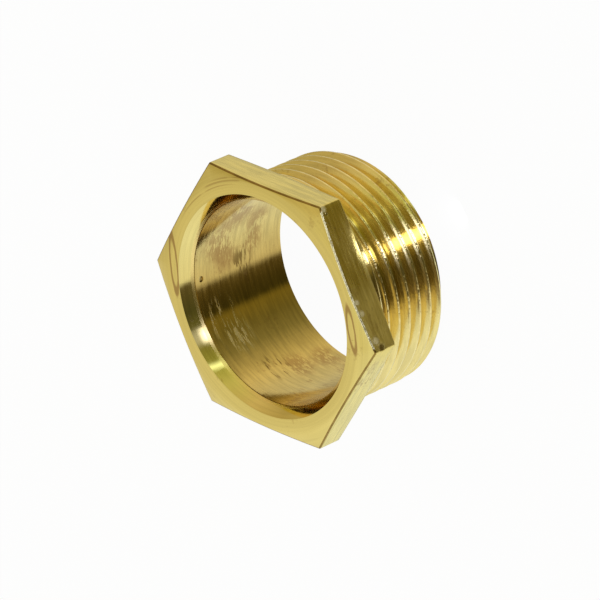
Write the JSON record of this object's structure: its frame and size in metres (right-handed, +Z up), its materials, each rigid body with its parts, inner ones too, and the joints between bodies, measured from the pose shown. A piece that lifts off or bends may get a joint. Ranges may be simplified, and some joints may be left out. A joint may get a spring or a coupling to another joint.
{
  "type": "hex bushing",
  "caption": "One-piece brass hex bushing: a male threaded shank under a hexagon head, with a smooth bore that opens in a rounded mouth.",
  "frame": {"origin": "centre of the thread end, on the surface that the bushing stands on", "axes": "+Z up along the bore from the thread end to the hexagon's face, +X through a corner of the hexagon, +Y square to a flat"},
  "size_m": [0.0308, 0.0266, 0.0138],
  "materials": {
    "brass": "machined and polished yellow brass"
  },
  "bodies": {
    "root": {"hex_bushing": "brass"}
  },
  "joints": []
}
